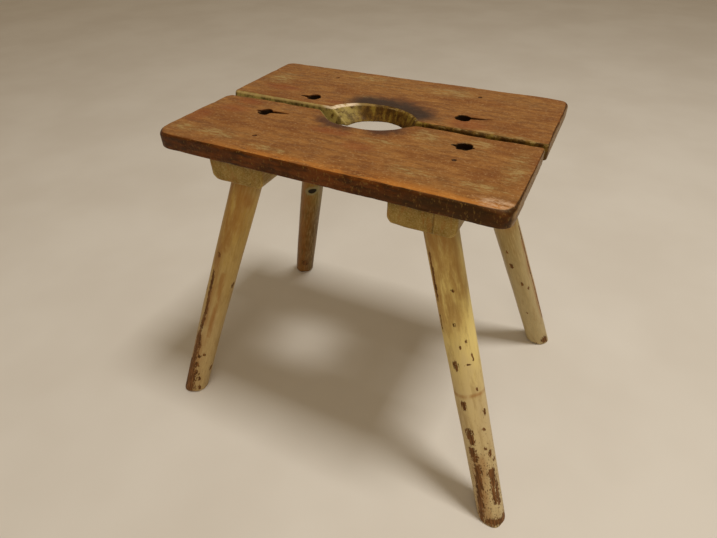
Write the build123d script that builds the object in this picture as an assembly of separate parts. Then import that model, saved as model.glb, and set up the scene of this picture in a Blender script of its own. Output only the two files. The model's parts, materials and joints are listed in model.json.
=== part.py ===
from build123d import *
from math import cos, pi
import os

# A small four-legged work stool, in millimetres, +Z up, standing on z = 0.
# Two planks make the seat, with a gap between them and a rounded hand hole across it.
# Two battens run front to back under the planks, and each holds two splayed round legs.
#
# The pieces are drawn about the seat's centre: +X is the seat's right end, +Y its rear edge.
# The last section moves everything, so that the origin is under the middle of the footprint.

# ---- Driving dimensions ----

SEAT_HEIGHT = 431.0
PLANK_THICKNESS = 19.0
BATTEN_THICKNESS = 37.0
UNDER_PLANKS = SEAT_HEIGHT - PLANK_THICKNESS
UNDER_BATTENS = UNDER_PLANKS - BATTEN_THICKNESS

# Planks: the corners seen from above, in the order front left, front right, back right and back left,
# and the rounding of each. The gap between the planks is wider at its left end.
FRONT_PLANK_CORNERS = [(-207.0, -141.0), (201.0, -142.5), (201.0, -1.5), (-201.5, -7.0)]
FRONT_PLANK_CORNER_RADII = [13.0, 14.0, 4.0, 11.0]
REAR_PLANK_CORNERS = [(-204.0, 6.0), (203.0, 7.0), (203.0, 146.0), (-202.5, 141.0)]
REAR_PLANK_CORNER_RADII = [4.0, 4.0, 15.0, 11.0]
WORN_EDGE_RADIUS = 3.5
LOWER_EDGE_RADIUS = 1.5

# The hand hole was sawn and rasped by hand, and it narrows downwards.
# In the rear plank it is part of an oval, given by its centre and its radii.
OVAL_AT_TOP = ((-1.0, -2.7), (58.0, 39.2))
OVAL_AT_UNDERSIDE = ((5.0, -2.7), (40.5, 33.0))
# In the front plank it is a bowl that runs gently into the gap, given by its half width and its depth.
BOWL_MIDDLE_X = -4.0
BOWL_AT_TOP = (66.0, 32.5)
BOWL_AT_UNDERSIDE = (54.0, 27.0)
BOWL_POINTS = 15
BOWL_RISE = 2.0

# Battens: x of each long side
BATTEN_LENGTH = 246.0
LEFT_BATTEN_SIDES = (-147.5, -75.5)
RIGHT_BATTEN_SIDES = (75.5, 149.5)
BATTEN_LONG_EDGE_RADIUS = 12.5
BATTEN_END_EDGE_RADIUS = 3.0

# Legs: where each axis meets the floor, and where it meets the underside of its batten.
# The holes were bored by eye, so the four legs differ a little.
LEGS = {
    "front_left_leg": ((-236.0, -171.0), (-121.3, -88.1)),
    "front_right_leg": ((253.2, -168.1), (122.1, -92.1)),
    "rear_right_leg": ((245.8, 176.3), (119.7, 90.6)),
    "rear_left_leg": ((-237.1, 172.0), (-124.6, 86.8)),
}
LEG_FOOT_RADIUS = 16.9
LEG_TOP_RADIUS = 18.6
TENON_END_RADIUS = 15.0
SOLE_CHAMFER = 1.5

# Wedges stand across the batten's grain in the top of each tenon.
WEDGE_LENGTH = 24.0
WEDGE_THICK_END = 3.6
WEDGE_THIN_END = 0.8

# Countersunk screws, each at the bottom of a deep recess in the seat
SEAT_SCREWS = {
    "front_left_screw": (-122.5, -40.0),
    "front_right_screw": (124.0, -34.0),
    "rear_right_screw": (100.0, 39.5),
    "rear_left_screw": (-93.5, 27.0),
}
SCREW_RECESS_RADIUS = 7.5
SCREW_RECESS_DEPTH = 8.0
SCREW_HEAD_RADIUS = 4.8
SCREW_HEAD_DEPTH = 2.9
SCREW_SHANK_RADIUS = 2.4
SCREW_LENGTH = 32.0
SCREW_TIP_LENGTH = 6.0
SCREW_TIP_RADIUS = 0.6
SCREW_SLOT_WIDTH = 1.2
SCREW_SLOT_DEPTH = 1.1

# Nails driven through the planks into the battens, with their heads punched below the surface
PLANK_NAILS = {
    "front_left_plank_nail": (-93.0, -102.5),
    "front_right_plank_nail": (124.0, -68.5),
    "rear_right_plank_nail": (99.5, 112.0),
    "rear_left_plank_nail": (-101.0, 106.0),
}
NAIL_HEAD_RADIUS = 1.8
NAIL_HEAD_LENGTH = 1.5
NAIL_SHANK_RADIUS = 1.1
NAIL_TIP_LENGTH = 3.0
NAIL_TIP_RADIUS = 0.3
NAIL_PUNCHED_DEPTH = 0.8
PLANK_NAIL_LENGTH = 42.0

# One nail locks the front left leg: it starts low on the batten's front end and slants into the tenon.
LEG_NAIL_START = (-91.0, -0.5 * BATTEN_LENGTH, UNDER_BATTENS + 5.0)
LEG_NAIL_AIM = (-112.0, -84.0, UNDER_BATTENS + 12.0)
LEG_NAIL_LENGTH = 38.0

# Longer than any piece, for cutting shapes that run right through
THROUGH = 200.0


# ---- Tools shared by the pieces ----

def edges_at_height(solid, height):
    """The edges that lie flat at one height."""
    return solid.edges().filter_by_position(Axis.Z, height - 0.01, height + 0.01)


def leg_axis_plane(name):
    """A plane at the floor end of a leg's axis, with its z along the leg and its x near the row's X."""
    foot, top = LEGS[name]
    start = Vector(foot[0], foot[1], 0)
    direction = Vector(top[0], top[1], UNDER_BATTENS) - start
    return Plane(origin=start, x_dir=(1, 0, 0), z_dir=direction)


def leg_length_to_batten(name):
    """The distance along a leg's axis from the floor to the underside of its batten."""
    foot, top = LEGS[name]
    return (Vector(top[0], top[1], UNDER_BATTENS) - Vector(foot[0], foot[1], 0)).length


# ---- Hand hole ----

def between(at_underside, at_top, height):
    """A pair of sizes at one height, on the straight line from the underside of the planks to the seat's top."""
    share = (height - UNDER_PLANKS) / PLANK_THICKNESS
    return [low + share * (high - low) for low, high in zip(at_underside, at_top)]


def oval_at(height):
    """The oval of the rear plank's cut."""
    centre = between(OVAL_AT_UNDERSIDE[0], OVAL_AT_TOP[0], height)
    radii = between(OVAL_AT_UNDERSIDE[1], OVAL_AT_TOP[1], height)
    return Pos(centre[0], centre[1], height) * Ellipse(*radii)


def front_plank_back_edge(x):
    """The y of the front plank's back edge, which runs at a slight angle."""
    right, left = FRONT_PLANK_CORNERS[2:]
    return left[1] + (right[1] - left[1]) * (x - left[0]) / (right[0] - left[0])


def bowl_at(height):
    """The area of the front plank's cut, which reaches back past the plank's edge."""
    half_width, depth = between(BOWL_AT_UNDERSIDE, BOWL_AT_TOP, height)
    rim = []
    for number in range(BOWL_POINTS):
        share = 2 * number / (BOWL_POINTS - 1) - 1
        dip = max(cos(0.5 * pi * abs(share) ** 1.5), 0) ** 1.4
        x = BOWL_MIDDLE_X + share * half_width
        rim.append((x, front_plank_back_edge(x) + BOWL_RISE - (depth + BOWL_RISE) * dip))
    curve = Spline(*rim)
    past_edge = REAR_PLANK_CORNERS[0][1]
    behind = Polyline(rim[-1], (rim[-1][0], past_edge), (rim[0][0], past_edge), rim[0])
    return Pos(0, 0, height) * make_face(curve + behind)


def tapered_cutter(section_at):
    """A tapered block that passes a little beyond both faces of the planks."""
    spare = 1.0
    return loft([section_at(UNDER_PLANKS - spare), section_at(SEAT_HEIGHT + spare)], ruled=True)


# ---- Planks ----

def plank(corners, corner_radii, hole_cutter):
    """A seat plank with rounded corners, its part of the hand hole, and softened edges."""
    outline = FilletPolyline(*corners, radius=corner_radii, close=True)
    board = Pos(0, 0, UNDER_PLANKS) * extrude(make_face(outline), amount=PLANK_THICKNESS)
    board = board - hole_cutter
    board = fillet(edges_at_height(board, SEAT_HEIGHT), WORN_EDGE_RADIUS)
    return fillet(edges_at_height(board, UNDER_PLANKS), LOWER_EDGE_RADIUS)


def front_plank():
    return plank(FRONT_PLANK_CORNERS, FRONT_PLANK_CORNER_RADII, tapered_cutter(bowl_at))


def rear_plank():
    return plank(REAR_PLANK_CORNERS, REAR_PLANK_CORNER_RADII, tapered_cutter(oval_at))


# ---- Battens ----

def batten(sides):
    """A cross block with rounded long edges below and slightly eased ends."""
    block = Box(sides[1] - sides[0], BATTEN_LENGTH, BATTEN_THICKNESS)
    block = Pos(0.5 * (sides[0] + sides[1]), 0, UNDER_PLANKS - 0.5 * BATTEN_THICKNESS) * block
    lower_edges = edges_at_height(block, UNDER_BATTENS)
    block = fillet(lower_edges.filter_by(Axis.Y), BATTEN_LONG_EDGE_RADIUS)
    lower_end_edges = block.edges().filter_by(Axis.X).group_by(Axis.Z)[0]
    return fillet(lower_end_edges, BATTEN_END_EDGE_RADIUS)


# ---- Legs and wedges ----

def leg_blank(name):
    """A leg before its tenon is slit: a tapered round pole with a steeper tapered tenon, sawn level at both ends."""
    reach = leg_length_to_batten(name)
    tenon_reach = BATTEN_THICKNESS * reach / UNDER_BATTENS
    taper = (LEG_TOP_RADIUS - LEG_FOOT_RADIUS) / reach
    tenon_taper = (LEG_TOP_RADIUS - TENON_END_RADIUS) / tenon_reach
    spare = 2 * LEG_TOP_RADIUS
    half_section = Polyline(
        (0, -spare),
        (LEG_FOOT_RADIUS - taper * spare, -spare),
        (LEG_TOP_RADIUS, reach),
        (TENON_END_RADIUS - tenon_taper * spare, reach + tenon_reach + spare),
        (0, reach + tenon_reach + spare),
        close=True,
    )
    pole = revolve(Plane.XZ * make_face(half_section), axis=Axis.Z)
    pole = leg_axis_plane(name) * pole
    sawn = pole & Pos(0, 0, 0.5 * UNDER_PLANKS) * Box(4 * THROUGH, 4 * THROUGH, UNDER_PLANKS)
    return chamfer(edges_at_height(sawn, 0), SOLE_CHAMFER)


def wedge_cutter(name):
    """The wedge's full tapered slab, wider than the tenon, which the leg's slit matches exactly."""
    reach = leg_length_to_batten(name)
    tenon_reach = BATTEN_THICKNESS * reach / UNDER_BATTENS
    spread = (WEDGE_THICK_END - WEDGE_THIN_END) / WEDGE_LENGTH
    thick = WEDGE_THICK_END + spread * WEDGE_LENGTH
    side = Polyline(
        (-0.5 * WEDGE_THIN_END, -WEDGE_LENGTH),
        (0.5 * WEDGE_THIN_END, -WEDGE_LENGTH),
        (0.5 * thick, WEDGE_LENGTH),
        (-0.5 * thick, WEDGE_LENGTH),
        close=True,
    )
    slab = extrude(Plane.YZ * make_face(side), amount=2 * LEG_TOP_RADIUS, both=True)
    return leg_axis_plane(name) * Pos(0, 0, reach + tenon_reach) * slab


# ---- Screws and nails: drawn pointing down, with the head's top at the origin ----

def turned(*profile):
    """A solid of revolution from (radius, height) pairs, whose first and last points lie on the axis."""
    return revolve(Plane.XZ * make_face(Polyline(*profile, close=True)), axis=Axis.Z)


def screw_body():
    return turned(
        (0, 0),
        (SCREW_HEAD_RADIUS, 0),
        (SCREW_SHANK_RADIUS, -SCREW_HEAD_DEPTH),
        (SCREW_SHANK_RADIUS, SCREW_TIP_LENGTH - SCREW_LENGTH),
        (SCREW_TIP_RADIUS, -SCREW_LENGTH),
        (0, -SCREW_LENGTH),
    )


def screw_slot():
    slot = Box(2 * SCREW_HEAD_RADIUS, SCREW_SLOT_WIDTH, 2 * SCREW_SLOT_DEPTH)
    return Rot(0, 0, 35) * slot


def nail_body(length):
    return turned(
        (0, 0),
        (NAIL_HEAD_RADIUS, 0),
        (NAIL_HEAD_RADIUS, -NAIL_HEAD_LENGTH),
        (NAIL_SHANK_RADIUS, -NAIL_HEAD_LENGTH),
        (NAIL_SHANK_RADIUS, NAIL_TIP_LENGTH - length),
        (NAIL_TIP_RADIUS, -length),
        (0, -length),
    )


def screw_place(name):
    x, y = SEAT_SCREWS[name]
    return Pos(x, y, SEAT_HEIGHT - SCREW_RECESS_DEPTH)


def plank_nail_place(name):
    x, y = PLANK_NAILS[name]
    return Pos(x, y, SEAT_HEIGHT - NAIL_PUNCHED_DEPTH)


def leg_nail_place():
    """The leg nail's place: its local -Z runs from the batten's front end towards the tenon."""
    start = Vector(*LEG_NAIL_START)
    inward = (Vector(*LEG_NAIL_AIM) - start).normalized()
    return Plane(origin=start + inward * NAIL_PUNCHED_DEPTH, z_dir=-inward).location


def entry_hole(radius):
    """The open hole above a sunk head."""
    return Pos(0, 0, 0.5 * THROUGH) * Cylinder(radius, THROUGH)


# ---- Putting the pieces together ----

def build_pieces():
    """Every piece by its node name, about the seat's centre."""
    blanks = {name: leg_blank(name) for name in LEGS}
    wedges = {name: wedge_cutter(name) & blanks[name] for name in LEGS}
    screws = {name: screw_place(name) * (screw_body() - screw_slot()) for name in SEAT_SCREWS}
    plank_nails = {name: plank_nail_place(name) * nail_body(PLANK_NAIL_LENGTH) for name in PLANK_NAILS}
    leg_nail = leg_nail_place() * nail_body(LEG_NAIL_LENGTH)

    screw_holes = [screw_place(name) * screw_body() for name in SEAT_SCREWS]
    screw_recesses = [screw_place(name) * entry_hole(SCREW_RECESS_RADIUS) for name in SEAT_SCREWS]
    nail_entries = [plank_nail_place(name) * entry_hole(NAIL_HEAD_RADIUS) for name in PLANK_NAILS]
    leg_nail_entry = leg_nail_place() * entry_hole(NAIL_HEAD_RADIUS)

    pieces = {"front_plank": front_plank(), "rear_plank": rear_plank()}
    for name in pieces:
        pieces[name] = pieces[name] - screw_holes - screw_recesses - list(plank_nails.values()) - nail_entries

    for name, sides in (("left_batten", LEFT_BATTEN_SIDES), ("right_batten", RIGHT_BATTEN_SIDES)):
        block = batten(sides) - list(blanks.values()) - screw_holes - list(plank_nails.values())
        pieces[name] = block - leg_nail - leg_nail_entry

    for name in LEGS:
        pieces[name] = blanks[name] - wedge_cutter(name) - leg_nail
        pieces[name.replace("_leg", "_wedge")] = wedges[name]

    pieces.update(screws)
    pieces.update(plank_nails)
    pieces["front_left_leg_nail"] = leg_nail
    return pieces


def footprint_centre(pieces):
    """The middle of the whole stool's plan, seen from above."""
    corners = [pieces[name].bounding_box() for name in pieces]
    middle_x = 0.5 * (min(box.min.X for box in corners) + max(box.max.X for box in corners))
    middle_y = 0.5 * (min(box.min.Y for box in corners) + max(box.max.Y for box in corners))
    return Vector(middle_x, middle_y, 0)


stool = build_pieces()
centre = footprint_centre(stool)
print("seat centre in the row's frame, mm:", round(-centre.X, 3), round(-centre.Y, 3))

os.makedirs("parts", exist_ok=True)
for node, piece in stool.items():
    export_step(Pos(-centre.X, -centre.Y, 0) * piece, f"parts/{node}.step")
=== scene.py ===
import itertools
import json
import math

import bpy
import numpy as np
from mathutils import Matrix, Vector

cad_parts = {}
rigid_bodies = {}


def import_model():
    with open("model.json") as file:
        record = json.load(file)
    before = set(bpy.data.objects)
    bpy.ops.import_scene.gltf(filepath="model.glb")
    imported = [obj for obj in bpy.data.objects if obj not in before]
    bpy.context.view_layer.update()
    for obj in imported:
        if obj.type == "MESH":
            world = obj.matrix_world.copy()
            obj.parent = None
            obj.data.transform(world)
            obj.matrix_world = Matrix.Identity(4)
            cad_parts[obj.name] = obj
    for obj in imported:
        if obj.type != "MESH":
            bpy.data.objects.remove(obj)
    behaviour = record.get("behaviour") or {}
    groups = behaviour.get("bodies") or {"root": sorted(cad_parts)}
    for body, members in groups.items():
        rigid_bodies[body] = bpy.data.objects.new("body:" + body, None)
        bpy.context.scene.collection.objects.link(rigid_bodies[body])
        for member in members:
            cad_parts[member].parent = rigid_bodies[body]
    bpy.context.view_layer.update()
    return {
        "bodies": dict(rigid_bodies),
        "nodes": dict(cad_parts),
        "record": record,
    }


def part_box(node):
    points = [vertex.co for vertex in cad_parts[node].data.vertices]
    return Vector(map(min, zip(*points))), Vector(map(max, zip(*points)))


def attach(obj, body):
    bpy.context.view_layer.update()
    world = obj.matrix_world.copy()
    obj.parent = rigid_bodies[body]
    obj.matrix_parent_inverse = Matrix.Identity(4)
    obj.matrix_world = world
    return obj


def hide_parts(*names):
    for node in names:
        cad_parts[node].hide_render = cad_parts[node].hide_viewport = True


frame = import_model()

# A worn four-legged work stool. Every wooden piece is sculpted as a signed distance in millimetres,
# turned into a quad mesh, and painted with procedural materials that follow its grain and its wear,
# with some shade and highlights painted into the colour as well.

MM = 0.001


# ---- Places read from the frame, in millimetres ----

def box_mm(node):
    """The lowest and highest corner of a CAD node."""
    low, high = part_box(node)
    return np.array(low) / MM, np.array(high) / MM


def middle_mm(node):
    low, high = box_mm(node)
    return 0.5 * (low + high)


FRONT_LOW, FRONT_HIGH = box_mm("front_plank")
REAR_LOW, REAR_HIGH = box_mm("rear_plank")
SEAT_TOP = FRONT_HIGH[2]
UNDER_PLANKS = FRONT_LOW[2]
UNDER_BATTENS = box_mm("left_batten")[0][2]
# A fixed point on the seat's top, near its middle: this far in from the front plank's right end and front
MIDDLE_FROM_RIGHT_END = 201.3
MIDDLE_FROM_FRONT_EDGE = 142.75
SEAT_MIDDLE = np.array([
    FRONT_HIGH[0] - MIDDLE_FROM_RIGHT_END,
    FRONT_LOW[1] + MIDDLE_FROM_FRONT_EDGE,
    SEAT_TOP,
])
SOLES = {
    mount["name"]: np.array(mount["pos_m"]) / MM
    for mount in frame["record"]["mounts"]
    if mount["name"].endswith("_sole")
}
CORNERS = ("front_left", "front_right", "rear_right", "rear_left")
BODY = next(iter(frame["bodies"]))

# Sizes that the boxes don't give. Most are the CAD's, and a few differ a little to match the photo.
# The hand hole's oval is cut in the rear plank: its middle, from SEAT_MIDDLE, and then its radii
OVAL_AT_TOP = (-0.5, -2.95, 58.0, 39.2)
OVAL_AT_UNDERSIDE = (6.8, -2.95, 39.0, 33.0)
# The hand hole's bowl is cut in the front plank: its half width, and then its depth
BOWL_MIDDLE_X = -3.5
BOWL_AT_TOP = (66.0, 32.5)
BOWL_AT_UNDERSIDE = (54.0, 27.0)
BOWL_RISE = 2.0
BOWL_SWEEP = 1.5
BOWL_ROUNDNESS = 1.4
# How far each plank corner, before it is rounded, is in from its plank's box, or out if negative.
# The corners run front left, front right, back right and back left.
FRONT_INSETS = ((-0.5, 1.5), (0.0, 0.0), (0.0, 0.0), (5.0, 5.5))
REAR_INSETS = ((0.0, 0.0), (0.0, 1.0), (0.0, -0.2), (1.5, 4.8))
# How round each plank corner is from above: front right, back right, back left and front left
FRONT_CORNER_RADII = (14.0, 4.0, 11.0, 18.0)
REAR_CORNER_RADII = (4.0, 10.0, 11.0, 4.0)
LEG_FOOT_RADIUS = 16.9
LEG_TOP_RADIUS = 18.6
TENON_END_RADIUS = 15.0
WEDGE_LENGTH = 24.0
WEDGE_THICK_END = 3.6
WEDGE_THIN_END = 0.8
# The left part of the rear plank's gap edge leans this far into the gap at the underside.
# The lean starts and is full at these x from SEAT_MIDDLE.
GAP_LEAN = 5.0
LEAN_STARTS_X = 10.0
LEAN_FULL_X = -25.0
RECESS_RADIUS = 8.8
RECESS_DEPTH = 8.6
RECESS_UNEVENNESS = 1.1
NAIL_DENT_RADIUS = 2.1
NAIL_DENT_DEPTH = 1.3


# ---- Camera: a person standing in front of the stool's right end ----

LENS = 25.1
SENSOR = 36.0
NEAREST_SEEN_M = 0.01
CAMERA_FROM_SEAT = (245.6, -517.15, 227.7)
CAMERA_YAW = math.radians(27.2)
CAMERA_PITCH = math.radians(38.7)
CAMERA_ROLL = math.radians(-1.11)


def make_camera():
    start = SEAT_MIDDLE + np.array(CAMERA_FROM_SEAT)
    forward = Vector((
        -math.sin(CAMERA_YAW) * math.cos(CAMERA_PITCH),
        math.cos(CAMERA_YAW) * math.cos(CAMERA_PITCH),
        -math.sin(CAMERA_PITCH),
    ))
    level_right = Vector((math.cos(CAMERA_YAW), math.sin(CAMERA_YAW), 0))
    level_up = level_right.cross(forward)
    right = math.cos(CAMERA_ROLL) * level_right + math.sin(CAMERA_ROLL) * level_up
    up = right.cross(forward)
    data = bpy.data.cameras.new("camera")
    data.lens = LENS
    data.sensor_width = SENSOR
    data.clip_start = NEAREST_SEEN_M
    camera = bpy.data.objects.new("camera", data)
    bpy.context.scene.collection.objects.link(camera)
    turn = Matrix((right, up, -forward)).transposed().to_4x4()
    camera.matrix_world = Matrix.Translation(Vector(start * MM)) @ turn
    bpy.context.scene.camera = camera


# ---- Light and floor, in metres and watts ----

LIT_POINT = (0.0, 0.0, 0.2)
FLOOR_HALF_WIDTH = 4.0
ROOM_COLOUR = (1.0, 0.78, 0.52, 1.0)
ROOM_STRENGTH = 0.27


def area_light(name, place, size, power, colour):
    """A rectangular lamp that shines at the middle of the stool."""
    data = bpy.data.lights.new(name, "AREA")
    data.shape = "RECTANGLE"
    data.size, data.size_y = size
    data.energy = power
    data.color = colour
    lamp = bpy.data.objects.new(name, data)
    bpy.context.scene.collection.objects.link(lamp)
    lamp.location = place
    lamp.rotation_mode = "QUATERNION"
    lamp.rotation_quaternion = (Vector(LIT_POINT) - Vector(place)).to_track_quat("-Z", "Y")


def make_lights():
    nearly_white = (1.0, 0.97, 0.92)
    warm_white = (1.0, 0.90, 0.72)
    area_light("overhead_light", place=(0.80, 0.05, 3.0), size=(0.6, 0.6), power=49.0, colour=nearly_white)
    area_light("front_window", place=(1.2, -2.6, 1.9), size=(1.6, 1.2), power=13.0, colour=warm_white)
    world = bpy.data.worlds.new("soft_room")
    world.use_nodes = True
    room = world.node_tree.nodes["Background"]
    room.inputs["Color"].default_value = ROOM_COLOUR
    room.inputs["Strength"].default_value = ROOM_STRENGTH
    bpy.context.scene.world = world
    bpy.context.scene.view_settings.view_transform = "Standard"


def make_floor():
    half = FLOOR_HALF_WIDTH
    mesh = bpy.data.meshes.new("floor")
    corners = [(-half, -half, 0), (half, -half, 0), (half, half, 0), (-half, half, 0)]
    mesh.from_pydata(corners, [], [(0, 1, 2, 3)])
    floor = bpy.data.objects.new("floor", mesh)
    bpy.context.scene.collection.objects.link(floor)
    g = Graph("pale_floor")
    at = g.place_mm()
    cloud = g.noise(at, 320, detail=3)
    tint = g.mix(g.ramp(cloud, 0.3, 0.7), srgb(219, 213, 203), srgb(226, 221, 212))
    g.finish(tint, roughness=0.6, bump=g.noise(at, 3.0), bump_height=0.05)
    mesh.materials.append(g.material)


# ---- Sculpting: signed distances in millimetres, negative inside the wood ----

# Grid steps past each end of a piece
SPARE_STEPS = 3
# Mesh points are moved onto the true surface in a few short moves along the distance's slope
SLOPE_STEP = 0.05
SETTLING_ROUNDS = 3
LONGEST_MOVE = 0.4
LEAST_STEEPNESS = 0.25
NEARLY_ZERO = 1e-6
# How far inside and outside the surface is felt, to tell edges and crevices from flats
PROBE = 3.5

# Odd factors that scramble a grid place and a seed into a number that looks random
SEED_FACTOR = 7919
PLACE_FACTORS = (73856093, 19349663, 83492791)
MIXING_FACTOR = 1274126177
LOW_BITS = 0xFFFF


def noise(x, y, z, size, seed):
    """Smooth noise from -1 to 1, with lumps about as wide as size. Each seed gives a different pattern."""
    total = 0.0
    cells = [np.asarray(v, float) / size for v in (x, y, z)]
    floors = [np.floor(cell).astype(np.int64) for cell in cells]
    blends = [cell - low for cell, low in zip(cells, floors)]
    blends = [blend * blend * (3 - 2 * blend) for blend in blends]
    for steps in itertools.product((0, 1), repeat=3):
        key = np.int64(seed * SEED_FACTOR)
        weight = 1.0
        for low, blend, step, factor in zip(floors, blends, steps, PLACE_FACTORS):
            key = key ^ ((low + step) * factor)
            weight = weight * (blend if step else 1 - blend)
        key = (key ^ (key >> 13)) * MIXING_FACTOR
        value = ((key ^ (key >> 16)) & LOW_BITS) / (0.5 * LOW_BITS) - 1
        total = total + weight * value
    return total


def rounded_both(a, b, radius):
    """Where both a and b are inside, with the edge between them rounded."""
    past_a = np.maximum(a + radius, 0)
    past_b = np.maximum(b + radius, 0)
    return np.minimum(-radius, np.maximum(a, b)) + np.hypot(past_a, past_b)


def smooth_step(value, low, high):
    """0 at low to 1 at high, smoothly. high may be the lower number."""
    share = np.clip((value - low) / (high - low), 0, 1)
    return share * share * (3 - 2 * share)


def graded(low, high, coarse, fine, fringe):
    """Grid positions past both ends of low to high, fine within fringe of each end and coarse between."""
    past = SPARE_STEPS * fine
    first = np.arange(low - past, low + fringe, fine)
    last = np.arange(high + past, high - fringe, -fine)[::-1]
    inner = np.linspace(first[-1], last[0], 2 + int((last[0] - first[-1]) / coarse))
    return np.concatenate([first, inner[1:-1], last])


def surface_net(distance, axes):
    """Points and quads of the surface where distance is zero.

    Each grid cell that the surface crosses has one point, and each crossed grid line one quad.
    """
    field = distance(axes[0][:, None, None], axes[1][None, :, None], axes[2][None, None, :])
    inside = field < 0
    cells = np.array([len(axis) - 1 for axis in axes])
    edge_points, edge_cells, quads = [], [], []
    for axis in range(3):
        u, v = (axis + 1) % 3, (axis + 2) % 3
        lower = [slice(None)] * 3
        upper = [slice(None)] * 3
        lower[axis], upper[axis] = slice(None, -1), slice(1, None)
        start, end = field[tuple(lower)], field[tuple(upper)]
        crossed = np.argwhere(inside[tuple(lower)] != inside[tuple(upper)])
        where = tuple(crossed.T)
        share = start[where] / (start[where] - end[where])
        points = np.stack([axes[k][crossed[:, k]] for k in range(3)], axis=1)
        step = axes[axis][crossed[:, axis] + 1] - axes[axis][crossed[:, axis]]
        points[:, axis] += share * step
        around = []
        for du, dv in ((-1, -1), (0, -1), (0, 0), (-1, 0)):
            cell = crossed.copy()
            cell[:, u] += du
            cell[:, v] += dv
            around.append(np.ravel_multi_index(tuple(cell.T), tuple(cells)))
        ring = np.stack(around, axis=1)
        outward = inside[tuple(lower)][where]
        quads.append(np.where(outward[:, None], ring, ring[:, ::-1]))
        edge_points.append(np.repeat(points, 4, axis=0))
        edge_cells.append(ring.ravel())
    cell_of, number = np.unique(np.concatenate(edge_cells), return_inverse=True)
    gathered = np.concatenate(edge_points)
    count = np.bincount(number)
    points = np.stack([np.bincount(number, gathered[:, k]) / count for k in range(3)], axis=1)
    quads_by_point = np.searchsorted(cell_of, np.concatenate(quads))
    return points, quads_by_point


def slope(distance, points):
    """The distance's gradient at points."""
    sides = []
    for k in range(3):
        shift = np.zeros(3)
        shift[k] = SLOPE_STEP
        ahead, behind = points + shift, points - shift
        sides.append((distance(*ahead.T) - distance(*behind.T)) / (2 * SLOPE_STEP))
    return np.stack(sides, axis=1)


def settle(distance, points):
    """Points moved onto the true surface, and its outward normals."""
    for _ in range(SETTLING_ROUNDS):
        gradient = slope(distance, points)
        steep = np.maximum((gradient**2).sum(1), LEAST_STEEPNESS)
        move = np.clip(distance(*points.T) / steep, -LONGEST_MOVE, LONGEST_MOVE)
        points = points - gradient * move[:, None]
    gradient = slope(distance, points)
    return points, gradient / np.maximum(np.linalg.norm(gradient, axis=1), NEARLY_ZERO)[:, None]


def add_attribute(mesh, name, values):
    """A number or a place for each mesh point, which a material can read."""
    kind, key = ("FLOAT_VECTOR", "vector") if values.ndim == 2 else ("FLOAT", "value")
    field = mesh.attributes.new(name, kind, "POINT")
    field.data.foreach_set(key, values.astype(np.float32).ravel())


def sculpt(name, node, distance, axes, relief, grain, to_row=None, extra=None, bulk=None):
    """A detailed wooden piece that stands for a CAD node.

    distance and axes are in the piece's own frame, and to_row is its (turn, start) in the row.
    relief gives how far each point is pushed out, and grain its place with the grain along x.
    extra gives more attributes, and bulk is the distance without pits, which tells edges from flats.
    """
    bulk = bulk or distance
    points, quads = surface_net(distance, axes)
    points, normals = settle(distance, points)
    edge = np.clip(1 + bulk(*(points - normals * PROBE).T) / PROBE, 0, 1)
    crevice = np.clip(1 - bulk(*(points + normals * PROBE).T) / PROBE, 0, 1)
    grain_points = grain(points)
    others = extra(points) if extra else {}
    points = points + normals * relief(points, edge)[:, None]
    if to_row:
        turn, start = to_row
        points = points @ turn.T + start
    mesh = bpy.data.meshes.new(name)
    mesh.from_pydata((points * MM).tolist(), [], quads.tolist())
    mesh.update()
    for key, values in {"edge": edge, "crevice": crevice, "grain": grain_points, **others}.items():
        add_attribute(mesh, key, values)
    mesh.polygons.foreach_set("use_smooth", [True] * len(mesh.polygons))
    piece = bpy.data.objects.new(name, mesh)
    bpy.context.scene.collection.objects.link(piece)
    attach(piece, BODY)
    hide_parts(node)
    return piece


# ---- Planks ----

# The hand-rasped edges of the hand hole wander by this much, in waves of this length
OVAL_WANDER = 0.8
OVAL_WANDER_LENGTH = 17.0
BOWL_WANDER = 0.7
BOWL_WANDER_LENGTH = 16.0
# How round the planks' edges are worn, how much more at some corners, and how far round those
TOP_EDGE_RADIUS = 3.1
UNDER_EDGE_RADIUS = 1.5
PIT_EDGE_RADIUS = 0.8
CORNER_WEAR = 3.5
CORNER_WEAR_REACH = 20.0
# How round the edge is where the hand hole's oval meets the gap
HOLE_CORNER_RADIUS = 3.0
# The painted shade in a pit fades in over this much of its wall, and a split's is this share of a hole's
PIT_FRINGE = 1.5
SPLIT_DARKNESS = 0.6
FAR_FROM_RIM = 60


def between(at_underside, at_top, z):
    """Sizes at the height z, on the straight line from the planks' underside to their top."""
    share = np.clip((z - UNDER_PLANKS) / (SEAT_TOP - UNDER_PLANKS), 0, 1)
    return [low + share * (high - low) for low, high in zip(at_underside, at_top)]


def plank_corners(low, high, insets):
    """A plank's corners from above: front left, front right, back right and back left."""
    left, right, front, back = low[0], high[0], low[1], high[1]
    return [
        (left + insets[0][0], front + insets[0][1]),
        (right - insets[1][0], front + insets[1][1]),
        (right - insets[2][0], back - insets[2][1]),
        (left + insets[3][0], back - insets[3][1]),
    ]


FRONT_CORNERS = plank_corners(FRONT_LOW, FRONT_HIGH, FRONT_INSETS)
REAR_CORNERS = plank_corners(REAR_LOW, REAR_HIGH, REAR_INSETS)


def straight_edge(start, end):
    """Signed distance past the line from start to end, positive on its right."""
    run_x, run_y = end[0] - start[0], end[1] - start[1]
    length = math.hypot(run_x, run_y)
    return lambda x, y, z: ((x - start[0]) * run_y - (y - start[1]) * run_x) / length + 0 * z


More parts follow.
